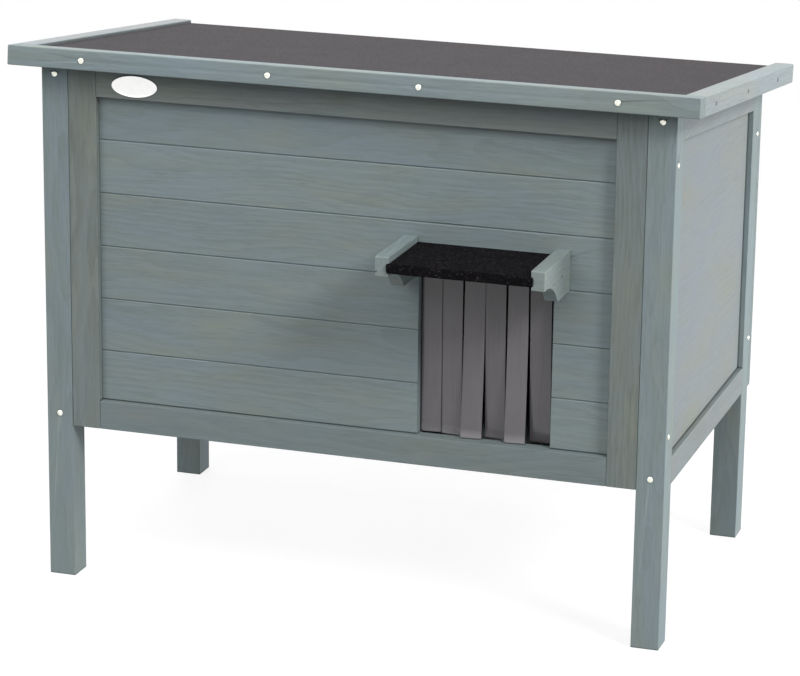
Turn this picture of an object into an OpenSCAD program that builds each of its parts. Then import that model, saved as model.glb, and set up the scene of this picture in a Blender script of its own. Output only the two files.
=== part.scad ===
// Raised outdoor cat house with a strip-curtain doorway, a small awning and a roof that hinges at the rear.
// Millimetres. +X right, -Y front, +Z up, origin on the ground at the middle of the whole footprint.

/* [Body] */
// Width over the legs
body_w = 712; // [600:1:900]
// Depth over the legs
body_d = 418; // [340:1:560]
// Leg width, seen from the front
leg_w = 31; // [26:0.5:45]
// Leg depth, seen from the side
leg_d = 32; // [26:0.5:45]
// Height of the lower edge of the walls above the ground
wall_lift = 179; // [80:1:300]

/* [Front wall] */
// Width of the two stiles
stile_w = 33; // [28:0.5:50]
// Height of the bottom rail, whose top is the door sill
front_bottom_rail_h = 32.5; // [24:0.5:50]
// Height of the top rail at its front face
front_top_rail_h = 36; // [28:0.5:60]
// How far the planks lie behind the frame's front face
front_recess = 9; // [4:0.5:14]
// Plank thickness
plank_t = 9; // [6:0.5:14]
// Height of one whole plank
plank_h = 60; // [45:1:80]
// Number of planks
plank_n = 6; // [5:1:8]
// How much is ripped off the bottom plank to stand on the rail
plank_rip = 3; // [0:0.5:10]
// How far the planks reach behind the stiles and the top rail
plank_lap = 11; // [6:0.5:14]
// Chamfer along the plank edges, which makes the V between two planks
plank_chamfer = 1.2; // [0.5:0.1:2.5]

/* [Doorway] */
// Doorway width
door_w = 150; // [120:1:220]
// Distance from the doorway to the right stile
door_side = 65; // [47:1:127]
// Number of planks the doorway is cut through
door_planks = 3; // [2:1:4]
// Width of the battens behind the doorway's sides
jamb_w = 30; // [24:1:45]
// Thickness of the battens inside the front wall
batten_t = 12; // [9:0.5:18]
// How far the jamb battens rise above the doorway
jamb_rise = 52; // [46:1:58]

/* [Curtain] */
// Number of hanging strips
strip_n = 6; // [4:1:9]
// Gap between neighbouring strips
strip_gap = 1; // [0.5:0.1:3]
// How far the curtain stops short of the doorway's right side
curtain_short = 4; // [0:0.5:10]
// Strip thickness
strip_t = 1.6; // [1:0.1:3]
// Height of the clamped band above the doorway
header_h = 25; // [18:1:40]
// Gap between the strips and the sill
strip_sill_gap = 0.6; // [0.5:0.1:6]
// Gap between the strips and the clamped band
strip_hinge_gap = 0.4; // [0.3:0.05:1]
// How far the lower end of a strip that curls out stands forward
strip_curl_out = 4; // [0:0.5:5]
// How far the lower end of a strip that curls in stands back
strip_curl_in = 6; // [0:0.5:12]

/* [Awning] */
// Bracket thickness
bracket_t = 15; // [10:0.5:24]
// How far the brackets stand out from the planks
bracket_reach = 100; // [80:1:150]
// Bracket height at the wall
bracket_h = 45; // [38:1:52]
// Bracket height at its front end
bracket_nose_h = 21; // [16:0.5:24]
// Radius of the arc cut under the bracket
arc_r = 58; // [45:1:90]
// Length of the bracket's flat foot at the wall
bracket_foot = 46; // [35:1:65]
// Gap between a bracket and the side of the doorway
bracket_side_gap = 2; // [1:0.5:6]
// Thickness of the awning board
awning_board_t = 8; // [6:0.5:10]
// How far the awning felt lies below the bracket tops
awning_drop = 6.5; // [3:0.5:10]
// How far the felt's front fold laps over each bracket
felt_lap = 2.3; // [0:0.1:6]

/* [Side walls] */
// Height of the bottom rails
side_bottom_rail_h = 31; // [24:0.5:45]
// Height of the top rails
side_top_rail_h = 34.5; // [28:0.5:50]
// How far the panels lie behind the rails
side_recess = 6.5; // [4:0.5:9]
// Panel thickness
panel_t = 9; // [6:0.5:12]
// How far the panels reach into the grooves of the rails
panel_lap = 10; // [6:0.5:11]

/* [Rear wall and floor] */
// Thickness of the rear boards
rear_board_t = 12; // [8:0.5:16]
// Number of rear boards
rear_board_n = 6; // [4:1:8]
// Height of the rear frame's bottom rail
rear_bottom_rail_h = 32.5; // [24:0.5:50]
// Height of the rear frame's top rail at its rear face
rear_top_rail_h = 36; // [28:0.5:60]
// Thickness of the rear frame
rear_frame_t = 18; // [14:0.5:24]
// Floor thickness
floor_t = 9; // [6:0.5:12]
// Width and height of the bearers under the floor
bearer = 18; // [12:0.5:20]
// Gap at the ends of the middle bearer
bearer_gap = 0.3; // [0.1:0.1:0.8]
// Gap round the edge of the floor
floor_gap = 0.8; // [0.3:0.1:3]

/* [Roof] */
// Fall of the roof to the rear, in degrees
roof_slope = 6.3; // [3:0.1:9]
// How far the roof runs past the front wall, along its underside
roof_front_over = 25.7; // [24:0.1:50]
// How far the roof runs past each side wall
roof_side_over = 29; // [26:0.5:50]
// How far the roof runs past the hinge pins
roof_tail = 25.4; // [20:0.2:50]
// Width of the roof rails
roof_rail_w = 22; // [16:0.5:24]
// Height of the roof rails
roof_rail_h = 21.7; // [19:0.1:30]
// How far the roof rails stand above the felt
roof_rail_up = 4; // [1:0.5:6]
// Thickness of the roof board
roof_board_t = 10; // [8:0.5:12]
// Thickness of the mineral felt
felt_t = 2.5; // [1.5:0.1:4]
// Gap between the closed roof and the tops of the walls
roof_seat_gap = 0.3; // [0.2:0.05:1]

/* [Hinges] */
// Hinge length
hinge_len = 50; // [36:1:80]
// Distance from a hinge's middle to the side of the house
hinge_inset = 126; // [60:1:200]
// Leaf thickness
leaf_t = 1.2; // [0.8:0.1:2]
// Distance from a roof leaf's end to the roof's rear edge
leaf_edge = 3; // [2:0.5:6]
// Barrel radius
barrel_r = 3; // [2.6:0.1:4]
// Pin radius
pin_r = 1.5; // [1:0.1:1.8]
// Running clearance round the pin
pin_clear = 0.05; // [0.02:0.01:0.1]
// Clearance between a barrel and the wood, and between knuckles
barrel_clear = 0.3; // [0.2:0.05:0.6]
// How far a leaf's screws lie either side of its middle
hinge_screw_x = 16; // [12:0.5:17]

/* [Fasteners] */
// Shank radius of the wood screws
screw_r = 2; // [1.5:0.1:2.5]
// Radius of the white screw heads
screw_head_r = 3.2; // [3:0.1:4.5]
// Height of the white screw heads
screw_head_h = 1.4; // [1:0.1:2.5]
// Width of the cross recess in the screw heads
recess_w = 0.8; // [0.6:0.1:1]
// Depth of the cross recess in the screw heads
recess_d = 0.8; // [0.5:0.1:1]
// How far a screw reaches into the second piece
screw_bite = 20; // [12:1:22]
// Clearance round screws and nails in their holes
screw_clear = 0.1; // [0.05:0.01:0.2]
// Distance of the leg screws in the front faces from the ends of the wall
leg_screw_inset = 13.5; // [12:0.5:15]
// Distance of the side screws in the front legs from the ends of the wall
front_screw_inset = 60; // [40:1:90]
// Distance of the side screws in the rear legs from the ends of the wall
rear_screw_inset = 62; // [40:1:90]
// Distance of the outer roof rail screws from the roof's ends
roof_screw_end = 87; // [50:1:120]
// Distance of the inner roof rail screws from the middle
roof_screw_mid = 84; // [40:1:100]
// Radius of the nails in the side roof rails
nail_r = 1; // [0.8:0.1:1.5]
// Radius of the nail heads
nail_head_r = 2.2; // [1.6:0.1:3]
// Distance of the first nail from the roof's front
nail_front = 73; // [50:1:100]
// Distance of the last nail from the roof's rear
nail_rear = 91; // [50:1:110]
// Number of nails in each side rail
nail_n = 3; // [2:1:5]
// Shank radius of the hinge screws
hinge_screw_r = 1.5; // [1:0.1:1.8]
// Head radius of the hinge screws
hinge_screw_head_r = 2.8; // [2.6:0.1:3.2]

/* [Hidden] */
$fn = 48;
strip_steps = 12;
nail_head_h = 0.6;
stain = "#79857f";
stain_pale = "#98a29f";
felt_dark = "#2b2b2d";
felt_grey = "#6a6668";
pvc = "#6e6a72";
ivory = "#e9ebe2";
steel = "#9aa0a3";

half_w = body_w / 2;
leg_in = half_w - leg_w;
leg_mid = half_w - leg_w / 2;
stile_in = leg_in - stile_w;
frame_t = front_recess + plank_t;

sill_z = wall_lift + front_bottom_rail_h;
plank_top = sill_z - plank_rip + plank_n * plank_h;
top_rail_z = plank_top - plank_lap;
wall_top = top_rail_z + front_top_rail_h;
lintel_z = sill_z - plank_rip + door_planks * plank_h;

rear_y = body_d + rear_board_t;
rear_frame_y = body_d - rear_frame_t;
floor_z = wall_lift + bearer;
floor_top = floor_z + floor_t;

door_r = stile_in - door_side;
door_l = door_r - door_w;
door_x = (door_l + door_r) / 2;
strip_pitch = (door_w - curtain_short) / strip_n;
strip_w = strip_pitch - strip_gap;
strip_y = frame_t + strip_t / 2;
strip_axis_z = lintel_z - strip_hinge_gap - strip_t / 2;
strip_drop = strip_axis_z - sill_z - strip_sill_gap;

bracket_in = door_w / 2 + bracket_side_gap;
bracket_front = front_recess - bracket_reach;
awning_front = bracket_front - felt_t;
awning_felt_top = lintel_z + bracket_h - awning_drop;

roof_half = half_w + roof_side_over;
rail_drop = roof_rail_h - roof_rail_up - felt_t - roof_board_t;
rail_top = roof_rail_h - rail_drop;
hinge_n = -(barrel_r + barrel_clear);
hinge_y = rear_y + barrel_r + barrel_clear;
hinge_s = (hinge_y - hinge_n * sin(roof_slope)) / cos(roof_slope);
hinge_z = wall_top + roof_seat_gap - hinge_s * sin(roof_slope) + hinge_n * cos(roof_slope);
hinge_x = half_w - hinge_inset;
leaf_w = roof_tail - leaf_edge;
hinge_half = hinge_len / 2;
knuckle = hinge_len / 3;
roof_s0 = -roof_front_over;
roof_s1 = hinge_s + roof_tail;
roof_rear = roof_s1 * cos(roof_slope) + rail_top * sin(roof_slope);
middle_y = (awning_front + roof_rear) / 2;

// Height of the walls' sloping top edge at a distance y behind the front face
function top_z(y) = wall_top - y * tan(roof_slope);

rear_board_h = (top_z(rear_y) - wall_lift) / rear_board_n;

// Forward stand of each strip's lower end, repeated over the strips
curls = [0.5, -0.5, strip_curl_out, -strip_curl_in, strip_curl_out, -strip_curl_in];

// Puts what is measured from the front face of the legs into the part's frame
module placed() {
    translate([0, -middle_y, 0]) children();
}

// Puts what is measured along and above the roof's underside onto the closed roof
module on_roof() {
    translate([0, 0, wall_top + roof_seat_gap]) rotate([-roof_slope, 0, 0]) children();
}

// A solid of constant outline, given as [y, z] points, from x0 to x1
module yz_prism(x0, x1, outline) {
    translate([x0, 0, 0]) rotate([90, 0, 90]) linear_extrude(x1 - x0) polygon(outline);
}

// A block between two corners
module block(low, high) {
    translate(low) cube(high - low);
}

// Mirrors its children to the left when side is -1
module on_side(side) {
    mirror([side < 0 ? 1 : 0, 0, 0]) children();
}

// The cross recess for a driver, cut down from the top of a head
module cross_recess(head_r) {
    for (turn = [0, 90])
        rotate(turn)
            translate([-head_r / 2, -recess_w / 2, -recess_d]) cube([head_r, recess_w, 2 * recess_d]);
}

// A shank that runs down from the origin, with a slightly domed head above it
module headed_nail(length, grow, head_r, head_h, r) {
    translate([0, 0, -length]) cylinder(h = length, r = r + grow);
    if (grow == 0) {
        cylinder(h = head_h / 2, r = head_r);
        translate([0, 0, head_h / 2]) cylinder(h = head_h / 2, r1 = head_r, r2 = head_r * 2 / 3);
    }
}

// A wood screw, or with grow its clearance hole
module headed_screw(length, grow = 0) {
    difference() {
        headed_nail(length, grow, screw_head_r, screw_head_h, screw_r);
        if (grow == 0) translate([0, 0, screw_head_h]) cross_recess(screw_head_r);
    }
}

// A flush screw whose cone-shaped head ends level with the origin
module flush_screw(length, grow = 0) {
    head_h = hinge_screw_head_r - hinge_screw_r;
    difference() {
        union() {
            translate([0, 0, -length]) cylinder(h = length, r = hinge_screw_r + grow);
            translate([0, 0, -head_h])
                cylinder(h = head_h, r1 = hinge_screw_r + grow, r2 = hinge_screw_head_r + grow);
        }
        if (grow == 0) cross_recess(hinge_screw_head_r);
    }
}

// The screws through one side's legs: from the front into the side rails, and from the side into the stiles
module leg_screw_set(grow = 0) {
    for (z = [wall_lift + leg_screw_inset, top_z(0) - leg_screw_inset])
        translate([leg_mid, 0, z]) rotate([90, 0, 0]) headed_screw(leg_d + screw_bite, grow);
    for (z = [wall_lift + front_screw_inset, top_z(0) - front_screw_inset])
        translate([half_w, frame_t / 2, z]) rotate([0, 90, 0]) headed_screw(leg_w + screw_bite, grow);
    for (z = [wall_lift + rear_screw_inset, top_z(body_d) - rear_screw_inset])
        translate([half_w, body_d - rear_frame_t / 2, z]) rotate([0, 90, 0])
            headed_screw(leg_w + screw_bite, grow);
}

module leg_screws() {
    color(ivory) placed() for (side = [-1, 1]) on_side(side) leg_screw_set();
}

// A leg from y0 to y1, cut to the roof's slope
module leg(side, y0, y1) {
    color(stain) placed() on_side(side) difference() {
        yz_prism(leg_in, half_w, [[y0, 0], [y1, 0], [y1, top_z(y1)], [y0, top_z(y0)]]);
        leg_screw_set(screw_clear);
    }
}

// A stile of the front wall, with a stopped rebate for the planks
module front_stile(side) {
    color(stain) placed() on_side(side) difference() {
        yz_prism(stile_in, leg_in,
                 [[0, wall_lift], [frame_t, wall_lift], [frame_t, top_z(frame_t)], [0, top_z(0)]]);
        block([stile_in, front_recess, sill_z], [stile_in + plank_lap, frame_t, plank_top]);
        leg_screw_set(screw_clear);
    }
}

module front_bottom_rail() {
    color(stain) placed() block([-stile_in, 0, wall_lift], [stile_in, frame_t, sill_z]);
}

module front_top_rail() {
    color(stain) placed() yz_prism(-stile_in, stile_in,
        [[0, top_rail_z], [front_recess, top_rail_z], [front_recess, plank_top], [frame_t, plank_top],
         [frame_t, top_z(frame_t)], [0, top_z(0)]]);
}

// Outline of a plank or board from z0 to z1, with chamfers on its outer edges
function plank_outline(outer, inner, z0, z1, c) =
    [[outer + c, z0], [inner, z0], [inner, z1], [outer + c, z1], [outer, z1 - abs(c)], [outer, z0 + abs(c)]];

// A plank of the front wall, in two lengths where the doorway cuts it
module front_plank(i) {
    reach = stile_in + plank_lap;
    z0 = max(sill_z, sill_z - plank_rip + (i - 1) * plank_h);
    z1 = sill_z - plank_rip + i * plank_h;
    spans = i <= door_planks ? [[-reach, door_l], [door_r, reach]] : [[-reach, reach]];
    color(stain) placed() difference() {
        for (span = spans)
            yz_prism(span[0], span[1], plank_outline(front_recess, frame_t, z0, z1, plank_chamfer));
        inner_screw_set(screw_clear);
    }
}

// Screws driven from inside, into the awning brackets and through the curtain batten
module inner_screw_set(grow = 0) {
    jamb_y = frame_t + batten_t;
    for (side = [-1, 1], part = [1, 3])
        translate([door_x + side * (bracket_in + bracket_t / 2), jamb_y, lintel_z + part * bracket_h / 4])
            rotate([-90, 0, 0]) headed_screw(batten_t + plank_t + screw_bite, grow);
    for (side = [-1, 0, 1])
        translate([door_x + side * door_w / 3, jamb_y + strip_t, lintel_z + header_h / 2])
            rotate([-90, 0, 0]) headed_screw(batten_t + strip_t + plank_t * 2 / 3, grow);
}

module inner_screws() {
    color(steel) placed() inner_screw_set();
}

module door_jamb_battens() {
    color(stain) placed() difference() {
        for (x = [door_l - jamb_w, door_r])
            block([x, frame_t, floor_top], [x + jamb_w, frame_t + batten_t, lintel_z + jamb_rise]);
        inner_screw_set(screw_clear);
    }
}

module curtain_header() {
    color(pvc) placed() difference() {
        block([door_l, frame_t, lintel_z], [door_r, frame_t + strip_t, lintel_z + header_h]);
        inner_screw_set(screw_clear);
    }
}

module curtain_batten() {
    y0 = frame_t + strip_t;
    color(stain) placed() difference() {
        block([door_l, y0, lintel_z], [door_r, y0 + batten_t, lintel_z + header_h]);
        inner_screw_set(screw_clear);
    }
}

// One strip: it hangs plumb on average, with its lower end curled out (positive) or in
module curtain_strip(i) {
    curl = curls[(i - 1) % len(curls)];
    x0 = door_l + (i - 1) * strip_pitch + strip_gap / 2;
    // Middle of the strip at a share t of its drop
    function hang(t, off) = [strip_y + off - curl * (3 * t * t - 2 * t), strip_axis_z - t * strip_drop];
    shares = [for (k = [0:strip_steps]) k / strip_steps];
    outline = concat([for (t = shares) hang(t, -strip_t / 2)],
                     [for (k = [strip_steps:-1:0]) hang(k / strip_steps, strip_t / 2)]);
    color(pvc) placed() {
        yz_prism(x0, x0 + strip_w, outline);
        translate([x0, strip_y, strip_axis_z]) rotate([0, 90, 0]) cylinder(h = strip_w, d = strip_t);
    }
}

// An awning bracket, drawn from the wall outwards: an arc runs from its foot up to the nose
module awning_bracket(side) {
    nose_z = bracket_h - bracket_nose_h;
    arc_mid = bracket_foot + sqrt(nose_z * (2 * arc_r - nose_z));
    x0 = door_x + (side < 0 ? -bracket_in - bracket_t : bracket_in);
    color(stain) placed() difference() {
        translate([x0 + bracket_t, front_recess, lintel_z]) rotate([90, 0, -90]) linear_extrude(bracket_t)
            difference() {
                square([bracket_reach, bracket_h]);
                translate([arc_mid, nose_z - arc_r]) circle(arc_r);
                translate([arc_mid, 0]) square([bracket_reach, nose_z]);
            }
        inner_screw_set(screw_clear);
    }
}

module awning_board() {
    top = awning_felt_top - felt_t;
    color(stain) placed()
        block([door_x - bracket_in, bracket_front, top - awning_board_t],
              [door_x + bracket_in, front_recess, top]);
}

// The felt on the awning board, with a wider fold down its front edge
module awning_felt() {
    top = awning_felt_top;
    low = top - felt_t;
    fold = bracket_in + felt_lap;
    color(felt_dark) placed() {
        block([door_x - bracket_in, awning_front, low], [door_x + bracket_in, front_recess, top]);
        block([door_x - fold, awning_front, low - awning_board_t], [door_x + fold, bracket_front, top]);
    }
}

module side_bottom_rail(side) {
    color(stain_pale) placed() on_side(side) difference() {
        block([leg_in, leg_d, wall_lift], [half_w, body_d - leg_d, wall_lift + side_bottom_rail_h]);
        panel_solid();
        leg_screw_set(screw_clear);
    }
}

module side_top_rail(side) {
    y0 = leg_d;
    y1 = body_d - leg_d;
    color(stain_pale) placed() on_side(side) difference() {
        yz_prism(leg_in, half_w, [[y0, top_z(y0) - side_top_rail_h], [y1, top_z(y1) - side_top_rail_h],
                                  [y1, top_z(y1)], [y0, top_z(y0)]]);
        panel_solid();
        leg_screw_set(screw_clear);
    }
}

// The plain panel of the right-hand side wall
module panel_solid() {
    low = wall_lift + side_bottom_rail_h - panel_lap;
    rise = panel_lap - side_top_rail_h;
    y0 = leg_d;
    y1 = body_d - leg_d;
    outer = half_w - side_recess;
    yz_prism(outer - panel_t, outer, [[y0, low], [y1, low], [y1, top_z(y1) + rise], [y0, top_z(y0) + rise]]);
}

module side_panel(side) {
    color(stain_pale) placed() on_side(side) panel_solid();
}

module rear_stile(side) {
    y0 = rear_frame_y;
    color(stain) placed() on_side(side) difference() {
        yz_prism(stile_in, leg_in,
                 [[y0, wall_lift], [body_d, wall_lift], [body_d, top_z(body_d)], [y0, top_z(y0)]]);
        leg_screw_set(screw_clear);
    }
}

module rear_bottom_rail() {
    color(stain) placed()
        block([-stile_in, rear_frame_y, wall_lift], [stile_in, body_d, wall_lift + rear_bottom_rail_h]);
}

module rear_top_rail() {
    low = top_z(body_d) - rear_top_rail_h;
    color(stain) placed() difference() {
        yz_prism(-stile_in, stile_in, [[rear_frame_y, low], [body_d, low], [body_d, top_z(body_d)],
                                       [rear_frame_y, top_z(rear_frame_y)]]);
        hinge_wall_screw_set(screw_clear);
    }
}

// A rear board, nailed over the legs and the rear frame; the highest is cut to the roof's slope
module rear_board(i) {
    z0 = wall_lift + (i - 1) * rear_board_h;
    z1 = z0 + rear_board_h;
    c = plank_chamfer;
    last = i == rear_board_n;
    outline = last
        ? [[body_d, z0], [rear_y - c, z0], [rear_y, z0 + c], [rear_y, top_z(rear_y)], [body_d, top_z(body_d)]]
        : plank_outline(rear_y, body_d, z0, z1, -c);
    color(stain) placed() difference() {
        yz_prism(-half_w, half_w, outline);
        hinge_wall_screw_set(screw_clear);
    }
}

module floor_panel() {
    color(stain) placed()
        block([-leg_in + floor_gap, frame_t + floor_gap, floor_z],
              [leg_in - floor_gap, rear_frame_y - floor_gap, floor_top]);
}

// Bearers along the front and rear rails, and one across the middle
module floor_bearers() {
    front = frame_t + bearer;
    rear = rear_frame_y - bearer;
    color(stain) placed() {
        block([-leg_in, frame_t, wall_lift], [leg_in, front, floor_z]);
        block([-leg_in, rear, wall_lift], [leg_in, rear_frame_y, floor_z]);
        block([-bearer / 2, front + bearer_gap, wall_lift], [bearer / 2, rear - bearer_gap, floor_z]);
    }
}

module roof_board() {
    inner = roof_half - roof_rail_w;
    color(stain) placed() on_roof() difference() {
        block([-inner, roof_s0 + roof_rail_w, 0], [inner, roof_s1 - felt_t, roof_board_t]);
        roof_screw_set(screw_clear);
        roof_nail_set(screw_clear);
        hinge_roof_screw_set(screw_clear);
    }
}

// The roof's felt, folded down over the rear edge of the board
module roof_felt() {
    inner = roof_half - roof_rail_w;
    low = roof_board_t;
    top = low + felt_t;
    s0 = roof_s0 + roof_rail_w;
    color(felt_grey) placed() on_roof() yz_prism(-inner, inner,
        [[s0, low], [s0, top], [roof_s1, top], [roof_s1, 0], [roof_s1 - felt_t, 0], [roof_s1 - felt_t, low]]);
}

module roof_front_rail() {
    color(stain) placed() on_roof() difference() {
        block([-roof_half, roof_s0, -rail_drop], [roof_half, roof_s0 + roof_rail_w, rail_top]);
        roof_screw_set(screw_clear);
    }
}

module roof_side_rail(side) {
    color(stain_pale) placed() on_roof() difference() {
        on_side(side)
            block([roof_half - roof_rail_w, roof_s0 + roof_rail_w, -rail_drop],
                  [roof_half, roof_s1, rail_top]);
        roof_nail_set(screw_clear);
    }
}

// Screws through the front rail into the roof board's edge
module roof_screw_set(grow = 0) {
    for (side = [-1, 1], x = [roof_half - roof_screw_end, roof_screw_mid])
        translate([side * x, roof_s0, roof_board_t / 2]) rotate([90, 0, 0])
            headed_screw(roof_rail_w + screw_bite, grow);
}

module roof_rail_screws() {
    color(ivory) placed() on_roof() roof_screw_set();
}

// Nails through the side rails into the roof board's edges
module roof_nail_set(grow = 0) {
    first = roof_s0 + nail_front;
    step = (roof_s1 - nail_rear - first) / (nail_n - 1);
    for (side = [-1, 1], k = [0:nail_n - 1])
        on_side(side) translate([roof_half, first + k * step, roof_board_t / 2]) rotate([0, 90, 0])
            headed_nail(roof_rail_w + screw_bite, grow, nail_head_r, nail_head_h, nail_r);
}

module roof_rail_nails() {
    color(steel) placed() on_roof() roof_nail_set();
}

// Middles of the hinges
module at_hinges() {
    for (side = [-1, 1]) translate([side * hinge_x, 0, 0]) children();
}

// A length of barrel on the pin's axis, which lies on X through the origin
module barrel(x0, x1, r) {
    translate([x0, 0, 0]) rotate([0, 90, 0]) cylinder(h = x1 - x0, r = r);
}

// The two end knuckles, which belong to the wall leaf
module end_knuckles(grow = 0) {
    for (side = [-1, 1]) on_side(side) barrel(hinge_half - knuckle - grow, hinge_half, barrel_r + grow);
}

// The leaf that hangs from the pin's axis: a plate below it, set forward against the wall
module wall_leaf() {
    face = -(barrel_r + barrel_clear);
    difference() {
        union() {
            difference() {
                block([-hinge_half, face, -leaf_w], [hinge_half, face + leaf_t, 0]);
                barrel(knuckle - hinge_half, hinge_half - knuckle, barrel_r + barrel_clear);
            }
            end_knuckles();
        }
        barrel(-hinge_half, hinge_half, pin_r);
    }
}

// The leaf that runs back from the pin's axis: a plate above it, against the roof board
module roof_leaf() {
    face = barrel_r + barrel_clear;
    middle = hinge_half - knuckle - barrel_clear;
    difference() {
        union() {
            difference() {
                block([-hinge_half, 0, face - leaf_t], [hinge_half, leaf_w, face]);
                end_knuckles(barrel_clear);
            }
            barrel(-middle, middle, barrel_r);
        }
        barrel(-hinge_half, hinge_half, pin_r + pin_clear);
    }
}

module hinge_wall_leaves() {
    color(steel) placed() difference() {
        translate([0, hinge_y, hinge_z]) at_hinges() wall_leaf();
        hinge_wall_screw_set(screw_clear);
    }
}

module hinge_roof_leaves() {
    color(steel) placed() on_roof() difference() {
        translate([0, hinge_s, hinge_n]) at_hinges() roof_leaf();
        hinge_roof_screw_set(screw_clear);
    }
}

module hinge_pins() {
    color(steel) placed() translate([0, hinge_y, hinge_z]) at_hinges()
        barrel(-hinge_half, hinge_half, pin_r);
}

// Flush screws through the wall leaves into the rear boards and the rear top rail
module hinge_wall_screw_set(grow = 0) {
    for (side = [-1, 1])
        translate([0, rear_y + leaf_t, hinge_z - leaf_w * 2 / 3]) at_hinges()
            translate([side * hinge_screw_x, 0, 0]) rotate([-90, 0, 0])
                flush_screw(leaf_t + rear_board_t + rear_frame_t / 2, grow);
}

module hinge_wall_screws() {
    color(steel) placed() hinge_wall_screw_set();
}

// Flush screws through the roof leaves into the roof board
module hinge_roof_screw_set(grow = 0) {
    for (side = [-1, 1])
        translate([0, hinge_s + leaf_w * 2 / 3, -leaf_t]) at_hinges()
            translate([side * hinge_screw_x, 0, 0]) rotate([180, 0, 0])
                flush_screw(leaf_t + roof_board_t * 2 / 3, grow);
}

module hinge_roof_screws() {
    color(steel) placed() on_roof() hinge_roof_screw_set();
}

leg(-1, 0, leg_d);  // front_left_leg
leg(1, 0, leg_d);  // front_right_leg
leg(-1, body_d - leg_d, body_d);  // rear_left_leg
leg(1, body_d - leg_d, body_d);  // rear_right_leg
front_stile(-1);  // front_left_stile
front_stile(1);  // front_right_stile
front_bottom_rail();
front_top_rail();
for (i = [1:plank_n])
    front_plank(i);
door_jamb_battens();
rear_stile(-1);  // rear_left_stile
rear_stile(1);  // rear_right_stile
rear_bottom_rail();
rear_top_rail();
for (i = [1:rear_board_n])
    rear_board(i);
side_bottom_rail(-1);  // left_bottom_rail
side_bottom_rail(1);  // right_bottom_rail
side_top_rail(-1);  // left_top_rail
side_top_rail(1);  // right_top_rail
side_panel(-1);  // left_panel
side_panel(1);  // right_panel
floor_panel();
floor_bearers();
awning_bracket(-1);  // awning_left_bracket
awning_bracket(1);  // awning_right_bracket
awning_board();
awning_felt();
curtain_batten();
curtain_header();
for (i = [1:strip_n])
    curtain_strip(i);
roof_board();
roof_felt();
roof_front_rail();
roof_side_rail(-1);  // roof_left_rail
roof_side_rail(1);  // roof_right_rail
roof_rail_screws();
roof_rail_nails();
hinge_wall_leaves();
hinge_roof_leaves();
hinge_pins();
hinge_wall_screws();
hinge_roof_screws();
leg_screws();
inner_screws();
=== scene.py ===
"""Dresses the solids of a raised wooden cat house and sets it up in a white studio."""

import logging
import math
import random
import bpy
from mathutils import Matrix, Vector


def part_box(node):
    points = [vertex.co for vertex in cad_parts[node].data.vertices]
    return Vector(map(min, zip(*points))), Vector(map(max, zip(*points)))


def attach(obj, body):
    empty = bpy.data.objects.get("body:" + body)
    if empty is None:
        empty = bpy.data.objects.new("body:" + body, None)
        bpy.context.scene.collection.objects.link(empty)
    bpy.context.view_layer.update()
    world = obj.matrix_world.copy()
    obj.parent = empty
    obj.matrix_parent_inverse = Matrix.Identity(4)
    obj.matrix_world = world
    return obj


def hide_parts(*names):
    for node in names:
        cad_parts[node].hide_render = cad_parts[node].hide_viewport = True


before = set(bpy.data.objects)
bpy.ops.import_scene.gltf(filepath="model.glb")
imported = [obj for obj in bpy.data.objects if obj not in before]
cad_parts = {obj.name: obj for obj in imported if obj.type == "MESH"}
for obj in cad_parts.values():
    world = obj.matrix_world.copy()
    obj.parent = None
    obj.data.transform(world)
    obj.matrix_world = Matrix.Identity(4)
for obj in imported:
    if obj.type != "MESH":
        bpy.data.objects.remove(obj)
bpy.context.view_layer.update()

import zlib
from collections.abc import Iterable
from dataclasses import dataclass, replace
from enum import Enum
from typing import Any

import bmesh
import bpy
from mathutils import Matrix, Vector

MM = 0.001
# Sockets of Blender's Mix node when it mixes colours
MIX_FACTOR, MIX_A, MIX_B, MIX_RESULT = 0, 6, 7, 2

log = logging.getLogger("cat_house")


def srgb(code: str) -> tuple[float, float, float, float]:
    """Turn an sRGB colour into linear light, by the curve of the sRGB standard.

    Args:
        code: The colour as "#rrggbb".

    Returns:
        Red, green, blue and an alpha of 1.
    """
    parts = [int(code[start:start + 2], 16) / 255 for start in (1, 3, 5)]
    red, green, blue = (part / 12.92 if part <= 0.04045 else ((part + 0.055) / 1.055) ** 2.4
                        for part in parts)
    return red, green, blue, 1.0


def put(tree: bpy.types.NodeTree, kind: str, inputs: dict[Any, Any] | None = None, **settings: Any) -> Any:
    """Add a node with its settings, its values and its links.

    Args:
        tree: The node tree that gets the node.
        kind: Blender's name for the kind of node.
        inputs: For a socket's name or number, the value it holds or the output it is linked to.
        **settings: The node's own attributes.

    Returns:
        The new node.
    """
    node = tree.nodes.new(kind)
    for key, value in settings.items():
        setattr(node, key, value)
    for key, value in (inputs or {}).items():
        if isinstance(value, bpy.types.NodeSocket):
            tree.links.new(value, node.inputs[key])
        else:
            node.inputs[key].default_value = value
    return node


def blank_material(name: str) -> tuple[bpy.types.Material, bpy.types.NodeTree]:
    """Make a material with an empty node tree.

    Args:
        name: The material's name.

    Returns:
        The material and its tree.
    """
    made = bpy.data.materials.new(name)
    made.use_nodes = True
    made.node_tree.nodes.clear()
    return made, made.node_tree


def seeded(name: str) -> random.Random:
    """Give a piece its own random numbers, the same in every run."""
    return random.Random(zlib.crc32(name.encode()))


def mesh_object(name: str, verts: list[Vector], faces: list[tuple[int, ...]],
                body: str) -> bpy.types.Object:
    """Make a smooth mesh object that moves with a body of the house.

    Args:
        name: The piece's name.
        verts: Its points in the frame, in metres.
        faces: Its faces as numbers of points.
        body: The body that it rides on.

    Returns:
        The new object.
    """
    mesh = bpy.data.meshes.new(name)
    mesh.from_pydata(verts, [], faces)
    mesh.shade_smooth()
    made = bpy.data.objects.new(name, mesh)
    bpy.context.scene.collection.objects.link(made)
    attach(made, body)
    return made


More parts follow.
